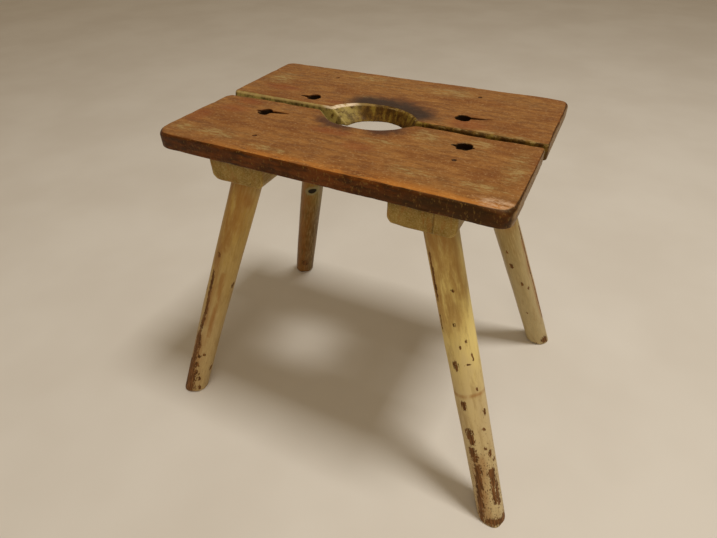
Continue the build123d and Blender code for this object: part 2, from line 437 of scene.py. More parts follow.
def oval_edge(x, y, z):
    """Signed distance past the rear plank's edge into the oval part of the hand hole."""
    middle_x, middle_y, radius_x, radius_y = between(OVAL_AT_UNDERSIDE, OVAL_AT_TOP, z)
    dx, dy = x - SEAT_MIDDLE[0] - middle_x, y - SEAT_MIDDLE[1] - middle_y
    dx = dx + OVAL_WANDER * noise(x, y, 0, OVAL_WANDER_LENGTH, 91)
    dy = dy + OVAL_WANDER * noise(x, y, 0, OVAL_WANDER_LENGTH, 92)
    reach = np.hypot(dx / radius_x, dy / radius_y)
    steep = np.hypot(dx / radius_x**2, dy / radius_y**2)
    return reach * (1 - reach) / np.maximum(steep, NEARLY_ZERO)


def bowl_y(x, z):
    """The y of the front plank's back edge, which sweeps forward round the hand hole."""
    (right_x, right_y), (left_x, left_y) = FRONT_CORNERS[2:]
    line_y = left_y + (right_y - left_y) * (x - left_x) / (right_x - left_x)
    half_width, depth = between(BOWL_AT_UNDERSIDE, BOWL_AT_TOP, z)
    share = np.clip(np.abs(x - SEAT_MIDDLE[0] - BOWL_MIDDLE_X) / half_width, 0, 1)
    dip = np.maximum(np.cos(0.5 * math.pi * share**BOWL_SWEEP), 0) ** BOWL_ROUNDNESS
    sweep = np.minimum(BOWL_RISE - (depth + BOWL_RISE) * dip, 0)
    return line_y + sweep + BOWL_WANDER * noise(x, 0, 0, BOWL_WANDER_LENGTH, 93)


def bowl_edge(x, y, z):
    """Signed distance past the front plank's back edge."""
    small = 0.5
    rise = (bowl_y(x + small, z) - bowl_y(x - small, z)) / (2 * small)
    return (y - bowl_y(x, z)) / np.hypot(1, rise)


# Splits that run along the grain from a screw: (screw, reach along x, offset in y, half width, depth).
# A split's path wanders by this much.
SPLIT_WANDER = 0.6
SPLITS = (
    ("front_left_screw", 30.0, 6.0, 3.4, 3.5),
    ("front_left_screw", -12.5, 0.0, 4.0, 5.0),
    ("rear_right_screw", 32.0, 8.0, 3.6, 4.0),
    ("rear_left_screw", -18.0, -2.0, 4.0, 5.0),
    ("front_right_screw", -14.0, -1.0, 4.5, 6.0),
    ("front_right_screw", 11.0, 0.0, 4.0, 4.0),
)


def recess_distance(x, y, z, name):
    """The screw's recess: a round hole with an uneven rim, negative inside it."""
    place = middle_mm(name)
    rim = RECESS_UNEVENNESS * noise(x, y, 0, 5.0, 11)
    side = np.hypot(x - place[0], y - place[1]) - RECESS_RADIUS + rim
    return np.maximum(side, SEAT_TOP - RECESS_DEPTH - z)


def dent_distance(x, y, z, name):
    """The shallow dent over a punched nail head."""
    place = middle_mm(name)
    side = np.hypot(x - place[0], y - place[1]) - NAIL_DENT_RADIUS
    return np.maximum(side, SEAT_TOP - NAIL_DENT_DEPTH - z)


def split_distance(x, y, z, split):
    """A tapering split in the wood, negative inside it."""
    name, reach, offset, half_width, depth = split
    place = middle_mm(name)
    share = (x - place[0]) / reach
    wander = SPLIT_WANDER * noise(x, 0, 0, 6.0, 23)
    width = half_width * np.clip(1.05 - share, 0, 1) ** 0.7
    side = np.abs(y - place[1] - offset * share - wander) - width
    floor = SEAT_TOP - depth * np.clip(1.2 - share, 0, 1)
    return np.maximum(np.maximum(side, floor - z), -share * abs(reach))


class Plank:
    """A worn plank.

    edges are its four sides in turn, and corner_radii the rounding at the corner after each. hole_side is
    the edge at the gap and the hand hole. worn_corners have extra wear. screws and nails are node names.
    """

    def __init__(self, edges, corner_radii, hole_side, worn_corners, screws, nails):
        self.edges = edges
        self.corner_radii = corner_radii
        self.hole_side = hole_side
        self.worn_corners = worn_corners
        self.screws = screws
        self.nails = nails

    def body(self, x, y, z):
        """Signed distance to the plank before its pits."""
        sides = [edge(x, y, z) for edge in self.edges]
        outline = np.maximum(np.maximum(sides[0], sides[1]), np.maximum(sides[2], sides[3]))
        for k, radius in enumerate(self.corner_radii):
            outline = np.maximum(outline, rounded_both(sides[k], sides[(k + 1) % 4], radius))
        wear = TOP_EDGE_RADIUS + 1.0 * noise(x, y, 0, 38.0, 3) + 0.5 * noise(x, y, 0, 9.0, 4)
        for corner_x, corner_y in self.worn_corners:
            away_squared = (x - corner_x) ** 2 + (y - corner_y) ** 2
            wear = wear + CORNER_WEAR * np.exp(-away_squared / CORNER_WEAR_REACH**2)
        under_wear = UNDER_EDGE_RADIUS + 0.5 * noise(x, y, 0, 12.0, 5)
        upper = rounded_both(outline, z - SEAT_TOP, wear)
        return np.maximum(upper, rounded_both(outline, UNDER_PLANKS - z, under_wear))

    def pits(self, x, y, z):
        """Signed distance to the recesses, dents and splits, negative inside them."""
        return np.minimum(self.holes(x, y, z), self.splits(x, y, z))

    def holes(self, x, y, z):
        recesses = [recess_distance(x, y, z, name) for name in self.screws]
        return np.minimum.reduce(recesses + [dent_distance(x, y, z, name) for name in self.nails])

    def splits(self, x, y, z):
        own = [split for split in SPLITS if split[0] in self.screws]
        return np.minimum.reduce([split_distance(x, y, z, split) for split in own])

    def distance(self, x, y, z):
        return rounded_both(self.body(x, y, z), -self.pits(x, y, z), PIT_EDGE_RADIUS)

    def extra(self, points):
        """How far each point is into a pit, and its distance in from the gap's and the hand hole's rim."""
        x, y, z = points.T
        in_hole = np.clip(1 - self.holes(x, y, z) / PIT_FRINGE, 0, 1)
        in_split = np.clip(1 - self.splits(x, y, z) / PIT_FRINGE, 0, 1)
        inside = np.maximum(in_hole, SPLIT_DARKNESS * in_split)
        rim = np.minimum(-self.hole_side(x, y, SEAT_TOP), FAR_FROM_RIM)
        return {"pit": inside * smooth_step(SEAT_TOP - z, 0.2, 1.8), "rim": rim}


def plank_relief(seed):
    """Wear in long shallow waves along the grain, small dents, and nibbled edges."""
    def relief(points, edge):
        x, y, z = points.T
        waves = 0.35 * noise(x / 6, y, z, 14.0, seed) * (1 - edge)
        dents = -0.30 * smooth_step(noise(x / 2, y, z, 5.0, seed + 1), 0.35, 0.9)
        nibbles = -0.45 * edge * smooth_step(noise(x, y, z, 6.0, seed + 2), 0.1, 0.8)
        return waves + dents + nibbles
    return relief


def make_plank(node, plank, seed):
    low, high = box_mm(node)
    # Each axis of the grid: its steps in the middle and near the ends, and how near that is
    axes = (
        graded(low[0], high[0], 1.5, 0.7, 10.0),
        graded(low[1] - GAP_LEAN, high[1], 1.1, 0.6, 8.0),
        graded(low[2], high[2], 1.4, 0.6, 4.0),
    )
    # Each plank takes its grain from another part of the same wood
    shift = np.array([seed * 61.0, seed * 9.7, seed * 3.1])
    piece = sculpt(
        "worn_" + node, node, plank.distance, axes, plank_relief(seed),
        lambda points: points + shift, extra=plank.extra, bulk=plank.body,
    )
    piece.data.materials.append(MATERIALS["seat"])


def make_front_plank():
    front_left, front_right, back_right, back_left = FRONT_CORNERS
    edges = (
        straight_edge(front_left, front_right), straight_edge(front_right, back_right), bowl_edge,
        straight_edge(back_left, front_left),
    )
    plank = Plank(
        edges, FRONT_CORNER_RADII, bowl_edge, (front_left, front_right),
        ("front_left_screw", "front_right_screw"), ("front_left_plank_nail", "front_right_plank_nail"),
    )
    make_plank("front_plank", plank, 31)


def make_rear_plank():
    front_left, front_right, back_right, back_left = REAR_CORNERS
    gap = straight_edge(front_left, front_right)

    def gap_and_oval(x, y, z):
        depth = (SEAT_TOP - z) / (SEAT_TOP - UNDER_PLANKS)
        share = smooth_step(x, SEAT_MIDDLE[0] + LEAN_STARTS_X, SEAT_MIDDLE[0] + LEAN_FULL_X)
        lean = GAP_LEAN * depth * share
        return rounded_both(gap(x, y, z) - lean, oval_edge(x, y, z), HOLE_CORNER_RADIUS)

    edges = (
        gap_and_oval, straight_edge(front_right, back_right), straight_edge(back_right, back_left),
        straight_edge(back_left, front_left),
    )
    plank = Plank(
        edges, REAR_CORNER_RADII, gap_and_oval, (back_right,),
        ("rear_left_screw", "rear_right_screw"), ("rear_left_plank_nail", "rear_right_plank_nail"),
    )
    make_plank("rear_plank", plank, 51)


# ---- Legs ----

# Carving and lumps fade out between these distances below the batten, so that the tenon stays true
CARVED_TO = 14
TRUE_FROM = 2
# Lumps fade in above the floor between these heights, so that the sole stays flat
SOLE_FLAT_TO = 0.5
LUMPS_FROM = 6.0
# How round the sole's edge is worn
SOLE_EDGE_RADIUS = 3.0
# The sculpting grid reaches this far from a leg's axis, and this far past its ends
LEG_GRID_REACH = 21.0
LEG_GRID_SPARE = 8.0


def leg_frame(corner):
    """A leg's turn and start.

    Its own z runs up the axis from the floor, and its own x points near the row's X.
    """
    start = SOLES[corner + "_sole"]
    up = middle_mm(corner + "_wedge") - start
    up = up / np.linalg.norm(up)
    across = np.array([1.0, 0, 0]) - up[0] * up
    across = across / np.linalg.norm(across)
    turn = np.stack([across, np.cross(up, across), up], axis=1)
    return turn, start


def leg_radius(height, reach, tenon_reach):
    """The leg's radius at a distance along its axis."""
    pole = LEG_FOOT_RADIUS + (LEG_TOP_RADIUS - LEG_FOOT_RADIUS) * np.minimum(height / reach, 1)
    tenon = np.maximum(height - reach, 0) * (LEG_TOP_RADIUS - TENON_END_RADIUS) / tenon_reach
    return pole - tenon


def leg_pole(corner, x, y, z):
    """Signed distance to the round pole of a leg, from a place in the row."""
    turn, start = leg_frame(corner)
    dx, dy, dz = x - start[0], y - start[1], z - start[2]
    local = [dx * turn[0, k] + dy * turn[1, k] + dz * turn[2, k] for k in range(3)]
    reach = UNDER_BATTENS / turn[2, 2]
    tenon_reach = (UNDER_PLANKS - UNDER_BATTENS) / turn[2, 2]
    return np.hypot(local[0], local[1]) - leg_radius(local[2], reach, tenon_reach)


# Marks on a leg's paint, as seen in the photo. Each runs from one (height, direction) to another, and then
# comes its half width. Heights are along the leg's axis, and a direction is the way that the mark faces, in
# degrees from the row's +X.
PAINT_CHIPS = {
    "front_left": (
        (246, 252, 176, 258, 2.2), (176, 258, 122, 248, 2.6), (122, 248, 48, 257, 5.0),
        (48, 257, -5, 261, 9.0), (60, 240, -5, 240, 7.0), (108, 268, 104, 270, 2.4),
        (84, 278, 81, 280, 3.0), (66, 275, 62, 277, 3.4), (48, 281, 40, 281, 2.2),
        (34, 278, 22, 280, 2.2), (90, 303, 88, 303, 1.6), (232, 0, 226, -2, 2.2),
        (212, 219, 208, 219, 2.4), (278, 259, 275, 259, 2.2), (60, -2, 52, -4, 2.2), (36, 308, 32, 310, 1.8),
        (16, 318, 10, 323, 2.0),
    ),
    "front_right": (
        (240, 256, 233, 258, 2.8), (238, 290, 238, 314, 0.8), (250, 324, 242, 325, 1.1),
        (187, 261, 179, 260, 2.7), (171, 336, 167, 336, 2.3), (147, 320, 146, 323, 1.8),
        (146, 262, 132, 265, 4.2), (120, 260, 106, 266, 4.4), (112, 332, 108, 332, 2.4),
        (94, 269, 60, 262, 4.0), (60, 260, 4, 244, 3.8), (84, 322, 62, 326, 4.6),
        (56, 318, 36, 321, 3.6), (60, 340, 30, 340, 3.4), (6, 272, 0, 362, 6.0), (330, 292, 330, 296, 1.6),
        (374, 233, 318, 230, 1.6), (300, 227, 280, 225, 1.2), (98, 348, 96, 350, 2.0),
        (120, 314, 118, 316, 1.5), (205, 322, 203, 322, 1.3), (262, 284, 260, 284, 1.3),
        (268, 308, 266, 308, 1.4), (290, 278, 288, 278, 1.3), (12, 42, -2, 82, 8.0),
        (20, 172, -2, 142, 9.0),
    ),
    "rear_right": (
        (208, 268, 202, 269, 2.2), (236, 265, 233, 265, 1.7), (12, 331, 6, 337, 5.5),
        (165, 293, 160, 293, 1.6), (150, 317, 147, 317, 1.8), (92, 277, 90, 277, 1.5),
        (270, 360, 60, 367, 1.3), (4, 275, -2, 225, 4.0),
    ),
    "rear_left": (
        (46, 292, 38, 297, 5.0), (6, 319, 0, 249, 5.0),
    ),
}
PAINT_STAINS = {
    "front_left": (
        (390, 263, 330, 278, 16.0), (330, 256, 262, 254, 7.0), (372, 308, 366, 323, 9.0),
        (120, 250, 0, 258, 12.0), (370, 285, 290, 280, 5.0), (270, 262, 150, 262, 5.0),
        (250, 300, 130, 300, 3.0),
    ),
    "front_right": (
        (395, 262, 300, 247, 20.0), (390, 302, 330, 312, 14.0), (196, 212, 196, 372, 2.2),
        (100, 272, 0, 257, 10.0),
    ),
    "rear_right": (
        (400, 295, 300, 295, 20.0), (240, 360, 60, 365, 5.0),
    ),
    "rear_left": (
        (400, 259, 0, 259, 14.0),
    ),
}
# The knot hole in the upper part of the rear left leg: its black middle is dark knot wood with the hole's
# shade painted in, and its pale ring is a painted glint round the rim. Its distance is a share of its half
# sizes.
KNOT_HEIGHT = 263
KNOT_DIRECTION = 296
KNOT_HALF_LENGTH = 9.0
KNOT_HALF_WIDTH = 5.2
KNOT_SLANT = math.radians(42)
FAR_FROM_KNOT = 9.0


def mark_distance(mark, height, facing, radius):
    """Distance over a leg's surface to a mark, as a share of the mark's half width."""
    height_from, facing_from, height_to, facing_to, half_width = mark
    arc = np.radians((facing - facing_from + 180) % 360 - 180) * radius
    run = np.array([height_to - height_from, math.radians(facing_to - facing_from) * LEG_FOOT_RADIUS])
    length_squared = max(run @ run, NEARLY_ZERO)
    share = np.clip(((height - height_from) * run[0] + arc * run[1]) / length_squared, 0, 1)
    return np.hypot(height - height_from - share * run[0], arc - share * run[1]) / half_width


def nearest_mark(marks, height, facing, radius):
    return np.min([mark_distance(mark, height, facing, radius) for mark in marks], axis=0)


def knot_distance(height, facing, radius):
    """Distance over a leg's surface to the knot's middle, as a share of the knot's half sizes."""
    turned = np.radians((facing - KNOT_DIRECTION + 180) % 360 - 180) * radius
    rise, run = math.sin(KNOT_SLANT), math.cos(KNOT_SLANT)
    along = turned * run + (height - KNOT_HEIGHT) * rise
    across = (height - KNOT_HEIGHT) * run - turned * rise
    return np.hypot(along / KNOT_HALF_LENGTH, across / KNOT_HALF_WIDTH)


def make_leg(corner, seed):
    turn, start = leg_frame(corner)
    reach = UNDER_BATTENS / turn[2, 2]
    tenon_reach = (UNDER_PLANKS - UNDER_BATTENS) / turn[2, 2]

    def height_in_row(x, y, z):
        return x * turn[2, 0] + y * turn[2, 1] + z * turn[2, 2]

    def distance(x, y, z):
        # The pole was shaved by hand, so it is not quite round, and a slit in its top holds the wedge
        around = np.arctan2(y, x)
        shaved = 0.35 * np.cos(3 * around + z / 90 + seed) + 0.25 * np.cos(5 * around - z / 60 + 2 * seed)
        in_mortise = smooth_step(z, reach - CARVED_TO, reach - TRUE_FROM)
        pole = np.hypot(x, y) - leg_radius(z, reach, tenon_reach) + (shaved - 0.2) * (1 - in_mortise)
        level = height_in_row(x, y, z)
        foot_wear = SOLE_EDGE_RADIUS + 1.4 * noise(x, y, 0, 9.0, seed)
        shape = rounded_both(pole, -level, foot_wear)
        shape = np.maximum(shape, level - UNDER_PLANKS)
        below_top = reach + tenon_reach - z
        thin = (WEDGE_THICK_END - WEDGE_THIN_END) / WEDGE_LENGTH
        slit = np.abs(y) - 0.5 * (WEDGE_THICK_END - thin * below_top)
        return np.maximum(shape, -np.maximum(slit, below_top - WEDGE_LENGTH))

    def relief(points, edge):
        x, y, z = points.T
        lumps = 0.3 * noise(x, y, z / 5, 9.0, seed)
        nibbles = -0.8 * edge * smooth_step(noise(x, y, z, 6.0, seed + 2), 0.0, 0.8)
        off_the_floor = smooth_step(height_in_row(x, y, z), SOLE_FLAT_TO, LUMPS_FROM)
        return (lumps + nibbles) * smooth_step(z, reach - TRUE_FROM, reach - CARVED_TO) * off_the_floor

    def grain(points):
        x, y, z = points.T
        return np.stack([z + 700 * seed, x + 41 * seed, y], axis=1)

    def extra(points):
        x, y, z = points.T
        facing = np.degrees(np.arctan2(y, x))
        radius = np.hypot(x, y)
        wear = smooth_step(nearest_mark(PAINT_CHIPS[corner], z, facing, radius), 2.2, 0.2)
        stain = smooth_step(nearest_mark(PAINT_STAINS[corner], z, facing, radius), 1.8, 0.2)
        knot = knot_distance(z, facing, radius) if corner == "rear_left" else np.full(len(z), FAR_FROM_KNOT)
        return {"wear": wear, "stain": stain, "up": z, "knot": knot}

    across = np.linspace(-LEG_GRID_REACH, LEG_GRID_REACH, 1 + int(2 * LEG_GRID_REACH))
    along = graded(-LEG_GRID_SPARE, reach + tenon_reach + LEG_GRID_SPARE, 2.0, 1.0, 30.0)
    piece = sculpt(
        "worn_" + corner + "_leg", corner + "_leg", distance, (across, across, along),
        relief, grain, (turn, start), extra,
    )
    piece.data.materials.append(MATERIALS[corner])


# ---- Battens ----

# A thin crack runs up the right batten's front end: its x from SEAT_MIDDLE, and how far back it reaches
BATTEN_CRACK_X = 125.7
BATTEN_CRACK_REACH = 6
# The rounding of a batten's edges, and the gap round a tenon
LONG_EDGE_RADIUS = 12.0
UPRIGHT_EDGE_RADIUS = 2.0
END_EDGE_RADIUS = 3.0
SOCKET_EDGE_RADIUS = 0.5
SOCKET_GAP = 0.25


def make_batten(side, seed):
    node = side + "_batten"
    low, high = box_mm(node)
    corners = ("front_" + side, "rear_" + side)

    def distance(x, y, z):
        left, right = low[0] - x, x - high[0]
        front, back = low[1] - y, y - high[1]
        below, above = low[2] - z, z - high[2]
        long_edge = LONG_EDGE_RADIUS + 1.5 * noise(0, y, 0, 60.0, seed)
        body = np.maximum(rounded_both(left, below, long_edge), rounded_both(right, below, long_edge))
        ends = np.maximum(front, back)
        upright_edge = UPRIGHT_EDGE_RADIUS + noise(x, y, z, 12.0, seed)
        upright = rounded_both(np.maximum(left, right), ends, upright_edge)
        lower = rounded_both(ends, below, END_EDGE_RADIUS + noise(x, y, z, 15.0, seed))
        shape = np.maximum(np.maximum(body, above), np.maximum(upright, lower))
        for corner in corners:
            outside_socket = -(leg_pole(corner, x, y, z) - SOCKET_GAP)
            shape = rounded_both(shape, outside_socket, SOCKET_EDGE_RADIUS)
        return shape

    def relief(points, edge):
        x, y, z = points.T
        waves = 0.3 * noise(x, y / 5, z, 11.0, seed)
        nibbles = -0.6 * edge * smooth_step(noise(x, y, z, 6.0, seed + 2), 0.1, 0.8)
        return (waves + nibbles) * smooth_step(z, high[2] - 0.3, high[2] - 3.0)

    def grain(points):
        x, y, z = points.T
        return np.stack([y + 300 * seed, x, z], axis=1)

    def extra(points):
        x, y, z = points.T
        away = np.abs(x - SEAT_MIDDLE[0] - BATTEN_CRACK_X - 0.8 * noise(0, 0, z, 7.0, seed))
        return {"crack": smooth_step(away, 1.2, 0.4) * (y < low[1] + BATTEN_CRACK_REACH)}

    axes = (
        graded(low[0], high[0], 1.3, 0.8, 6.0),
        graded(low[1], high[1], 1.6, 0.8, 6.0),
        graded(low[2], high[2], 1.2, 0.8, 4.0),
    )
    piece = sculpt("worn_" + node, node, distance, axes, relief, grain, extra=extra)
    piece.data.materials.append(MATERIALS["batten"])


# ---- Materials ----

def srgb(red, green, blue):
    """A colour given in everyday 0 to 255 values, as linear light."""
    def linear(v):
        v = v / 255
        return v / 12.92 if v <= 0.04045 else ((v + 0.055) / 1.055) ** 2.4
    return (linear(red), linear(green), linear(blue), 1.0)


# The glow of an old oily surface, as linear light
WARM_GLOSS = (1.0, 0.74, 0.42, 1.0)


class Graph:
    """A material being built. Each call adds shader nodes and returns the last one's output."""

    def __init__(self, name):
        self.material = bpy.data.materials.new(name)
        self.material.use_nodes = True
        self.tree = self.material.node_tree
        self.tree.nodes.clear()

    def add(self, kind, inputs, output=0, **settings):
        node = self.tree.nodes.new(kind)
        for key, value in settings.items():
            setattr(node, key, value)
        for key, value in inputs.items():
            if isinstance(value, bpy.types.NodeSocket):
                self.tree.links.new(value, node.inputs[key])
            else:
                node.inputs[key].default_value = value
        return node.outputs[output]

    def math(self, operation, a, b=0.0):
        return self.add("ShaderNodeMath", {0: a, 1: b}, operation=operation)

    def times(self, a, b):
        return self.math("MULTIPLY", a, b)

    def most(self, a, b):
        return self.math("MAXIMUM", a, b)

    def stretch(self, vector, factors):
        return self.add("ShaderNodeVectorMath", {0: vector, 1: factors}, operation="MULTIPLY")

    def place_mm(self):
        """The place in the row, in millimetres."""
        return self.stretch(self.add("ShaderNodeTexCoord", {}, output="Object"), (1000, 1000, 1000))

    def attribute(self, name, output="Fac"):
        return self.add("ShaderNodeAttribute", {}, output=output, attribute_name=name)

    def noise(self, at, size, detail=3.0, rough=0.55):
        """Noise from 0 to 1, with its largest lumps about as wide as size."""
        inputs = {"Vector": at, "Scale": 1 / size, "Detail": detail, "Roughness": rough}
        return self.add("ShaderNodeTexNoise", inputs)

    def ramp(self, value, low, high):
        """0 at low to 1 at high, smoothly."""
        inputs = {"Value": value, "From Min": low, "From Max": high}
        return self.add("ShaderNodeMapRange", inputs, interpolation_type="SMOOTHSTEP")

    def mix(self, share, a, b):
        inputs = {0: share, 6: a, 7: b}
        return self.add("ShaderNodeMix", inputs, output=2, data_type="RGBA")

    def split(self, vector):
        node = self.tree.nodes.new("ShaderNodeSeparateXYZ")
        self.tree.links.new(vector, node.inputs[0])
        return node.outputs

    def normal(self):
        return self.split(self.add("ShaderNodeNewGeometry", {}, output="Normal"))

    def tint(self, colour, share, strength, new):
        """colour with some of a new sRGB colour laid over it."""
        return self.mix(self.times(share, strength), colour, srgb(*new))

    def spot(self, at, centre, radii, full_to=0.3):
        """1 in the middle of an oval, up to the share full_to of its radii, fading to 0 at its radii."""
        away = self.add("ShaderNodeVectorMath", {0: at, 1: centre}, operation="SUBTRACT")
        scaled = self.stretch(away, tuple(1 / r for r in radii))
        reach = self.add("ShaderNodeVectorMath", {0: scaled}, output="Value", operation="LENGTH")
        return self.ramp(reach, 1.0, full_to)

    def finish(self, colour, roughness, bump, bump_height, specular=0.3):
        """The surface shader. bump_height is in millimetres."""
        raised = self.add("ShaderNodeBump", {"Height": bump, "Distance": bump_height * MM, "Strength": 1.0})
        surface = self.add("ShaderNodeBsdfPrincipled", {
            "Base Color": colour,
            "Roughness": roughness,
            "Normal": raised,
            "Specular IOR Level": specular,
            "Specular Tint": WARM_GLOSS,
        })
        shown = self.tree.nodes.new("ShaderNodeOutputMaterial")
        self.tree.links.new(surface, shown.inputs["Surface"])


# Patches on the seat's top, from SEAT_MIDDLE: (x, y, half width, half depth)
PALE_PATCHES = (
    (-134, -115, 44, 15), (-178, -116, 28, 14), (38, -61, 42, 9), (92, -108, 38, 13), (165, -110, 34, 14),
    (79, -28, 24, 24), (136, -22, 24, 16), (-172, 74, 34, 34), (-26, 54, 26, 11), (-60, -125, 44, 10),
    (184, -60, 18, 60), (60, 112, 60, 22), (-60, 122, 60, 16), (150, 10, 60, 7),
)
RED_PATCHES = (
    (-158, -21, 26, 11), (22, -80, 30, 14), (-20, -58, 40, 12), (110, 22, 34, 20), (-60, 22, 16, 9),
    (-150, 42, 40, 14), (-165, -46, 34, 16), (-190, -80, 20, 26),
)
PATCH_HALF_HEIGHT = 30


def seat_spot(g, at, x, y, radii, full_to=0.3):
    """An oval on the seat's top, at x and y from SEAT_MIDDLE."""
    return g.spot(at, (SEAT_MIDDLE[0] + x, SEAT_MIDDLE[1] + y, SEAT_TOP), radii, full_to)


def with_patches(g, at, share, patches):
    """share, raised to 1 in the middle of each patch."""
    for x, y, half_width, half_depth in patches:
        share = g.most(share, seat_spot(g, at, x, y, (half_width, half_depth, PATCH_HALF_HEIGHT)))
    return share


def seat_material():
    """Worn orange-brown varnish over old cream paint, with stains round the hand hole."""
    g = Graph("seat_varnish")
    at = g.place_mm()
    grain = g.attribute("grain", "Vector")
    rim = g.attribute("rim")
    facing = g.normal()
    place = g.split(at)
    top = g.ramp(facing[2], 0.84, 0.985)
    middle = SEAT_MIDDLE

    streaks = g.noise(g.stretch(grain, (0.05, 1, 1)), 3.0, detail=5, rough=0.65)
    mottle = g.noise(g.stretch(grain, (0.35, 1, 1)), 7.0, detail=5, rough=0.65)
    clouds = g.noise(g.stretch(grain, (0.4, 1, 1)), 40, detail=3)
    speckle = g.noise(g.stretch(grain, (0.75, 1, 1)), 2.0, detail=4, rough=0.7)
    colour = g.mix(g.ramp(mottle, 0.34, 0.66), srgb(121, 76, 37), srgb(151, 103, 53))
    colour = g.tint(colour, g.ramp(streaks, 0.52, 0.66), 0.32, (172, 120, 60))
    colour = g.tint(colour, g.ramp(streaks, 0.48, 0.34), 0.32, (106, 62, 28))
    colour = g.tint(colour, g.ramp(clouds, 0.54, 0.36), 0.50, (114, 62, 24))
    colour = g.tint(colour, g.ramp(speckle, 0.54, 0.68), 0.55, (180, 144, 98))
    colour = g.tint(colour, g.ramp(speckle, 0.44, 0.32), 0.40, (84, 48, 22))

    # Old paint that shows through in pale flecks, and redder places between
    paint = g.noise(g.stretch(grain, (0.30, 1, 1)), 4.0, detail=6, rough=0.78)
    pale = g.times(g.ramp(clouds, 0.50, 0.66), 0.35)
    pale = with_patches(g, at, pale, PALE_PATCHES)
    fleck = g.ramp(g.math("ADD", paint, g.times(pale, 0.10)), 0.56, 0.70)
    red = with_patches(g, at, 0.0, RED_PATCHES)
    colour = g.tint(colour, red, 0.40, (132, 60, 30))
    colour = g.tint(colour, pale, 0.22, (142, 108, 56))
    colour = g.tint(colour, fleck, 0.25, (158, 134, 86))
    colour = g.tint(colour, g.times(fleck, pale), 0.45, (174, 152, 100))

    # A worn band along the front edge, and a painted sheen on the front right corner
    patchy = g.noise(g.stretch(grain, (0.25, 1, 1)), 9, detail=5, rough=0.7)
    front = g.ramp(g.math("ADD", place[1], g.times(patchy, 18.0)), FRONT_LOW[1] + 30, FRONT_LOW[1] + 13)
    front = g.times(front, g.ramp(place[0], middle[0] - 190, middle[0] - 30))
    colour = g.tint(colour, g.times(front, g.ramp(patchy, 0.38, 0.58)), 0.60, (196, 124, 46))
    colour = g.tint(colour, g.times(front, g.ramp(speckle, 0.57, 0.68)), 0.35, (216, 168, 92))
    # Painted sheen: a pale patch on the front right corner's top stands in for the varnish reflecting the
    # lamp
    corner = g.spot(at, (FRONT_HIGH[0] - 14, FRONT_LOW[1] + 10, SEAT_TOP), (34, 12, 12))
    colour = g.tint(colour, g.times(corner, g.ramp(paint, 0.42, 0.58)), 0.70, (214, 182, 150))

    # Blue-black stain round the back of the hand hole, and fainter dark marks on its front rim that are
    # partly stain and partly painted shade where the rim rounds down into the hole
    smoke = g.noise(at, 10, detail=4, rough=0.6)
    reach = g.math("ADD", rim, g.times(g.math("SUBTRACT", smoke, 0.5), 24.0))
    behind = seat_spot(g, at, 16, 42, (76, 56, 40), 0.6)
    behind = g.times(behind, g.ramp(reach, 46, 18))
    front_left = seat_spot(g, at, -34, -40, (48, 28, 40))
    front_right = seat_spot(g, at, 36, -34, (36, 26, 40))
    before = g.times(g.most(front_left, front_right), g.ramp(reach, 23, 5))
    colour = g.tint(colour, behind, 0.50, (92, 48, 36))
    colour = g.tint(colour, g.times(behind, g.ramp(reach, 38, 10)), 0.88, (40, 34, 33))
    # The front rim's marks: stain, with painted shade where the rounded rim turns down into the hole
    colour = g.tint(colour, before, 0.80, (62, 40, 36))

    # The sides: dark red-brown on the outside, old olive paint in the gap and the hand hole
    scuff = g.noise(g.stretch(grain, (0.25, 1, 0.6)), 3.5, detail=5, rough=0.65)
    side = g.mix(g.ramp(scuff, 0.34, 0.66), srgb(54, 24, 2), srgb(86, 42, 6))
    side = g.tint(side, g.ramp(patchy, 0.48, 0.62), 0.55, (122, 64, 18))
    dark_end = g.times(g.ramp(place[0], middle[0] + 30, middle[0] + 120), g.ramp(clouds, 0.42, 0.52))
    side = g.tint(side, dark_end, 0.60, (44, 28, 8))
    scratches = g.noise(g.stretch(grain, (0.6, 1, 0.3)), 1.6, detail=4, rough=0.7)
    side = g.tint(side, g.ramp(scratches, 0.56, 0.68), 0.50, (142, 112, 56))
    runs = g.noise(g.stretch(at, (1, 1, 0.22)), 8, detail=4)
    blotch = g.noise(at, 6, detail=4, rough=0.65)
    olive = g.mix(g.ramp(blotch, 0.36, 0.62), srgb(72, 44, 12), srgb(108, 78, 26))
    olive = g.tint(olive, g.ramp(runs, 0.52, 0.64), 0.6, (146, 122, 48))
    # Painted light: the left part of the hand hole's wall, which faces the lamp, is made paler
    lit_left_wall = g.ramp(place[0], middle[0] - 22, middle[0] - 40)
    olive = g.tint(olive, g.times(lit_left_wall, g.ramp(blotch, 0.28, 0.52)), 0.60, (172, 156, 88))
    olive = g.tint(olive, g.ramp(runs, 0.49, 0.40), 0.55, (60, 40, 14))
    side = g.mix(g.ramp(rim, 8.0, 4.0), side, olive)
    ends = g.ramp(g.math("ABSOLUTE", facing[0]), 0.75, 0.95)
    end_grain = g.mix(g.ramp(scuff, 0.35, 0.65), srgb(110, 80, 46), srgb(150, 118, 74))
    side = g.mix(g.times(ends, g.ramp(rim, 4.0, 8.0)), side, end_grain)
    colour = g.mix(top, side, colour)

    # The rear plank's rounded edge along the gap is worn pale and carries a painted highlight, most of all
    # at the hole's rear left
    rear = g.ramp(place[1], middle[1], middle[1] + 3)
    arris = g.times(g.times(g.ramp(facing[2], 0.99, 0.92), g.ramp(rim, 2.4, 0.8)), rear)
    arris = g.times(arris, g.ramp(place[2], SEAT_TOP - 3.2, SEAT_TOP - 2.0))
    left_side = g.ramp(place[0], middle[0] + 10, middle[0] - 40)
    arris = g.times(arris, g.most(left_side, g.ramp(paint, 0.50, 0.58)))
    colour = g.tint(colour, arris, 0.60, (176, 150, 96))
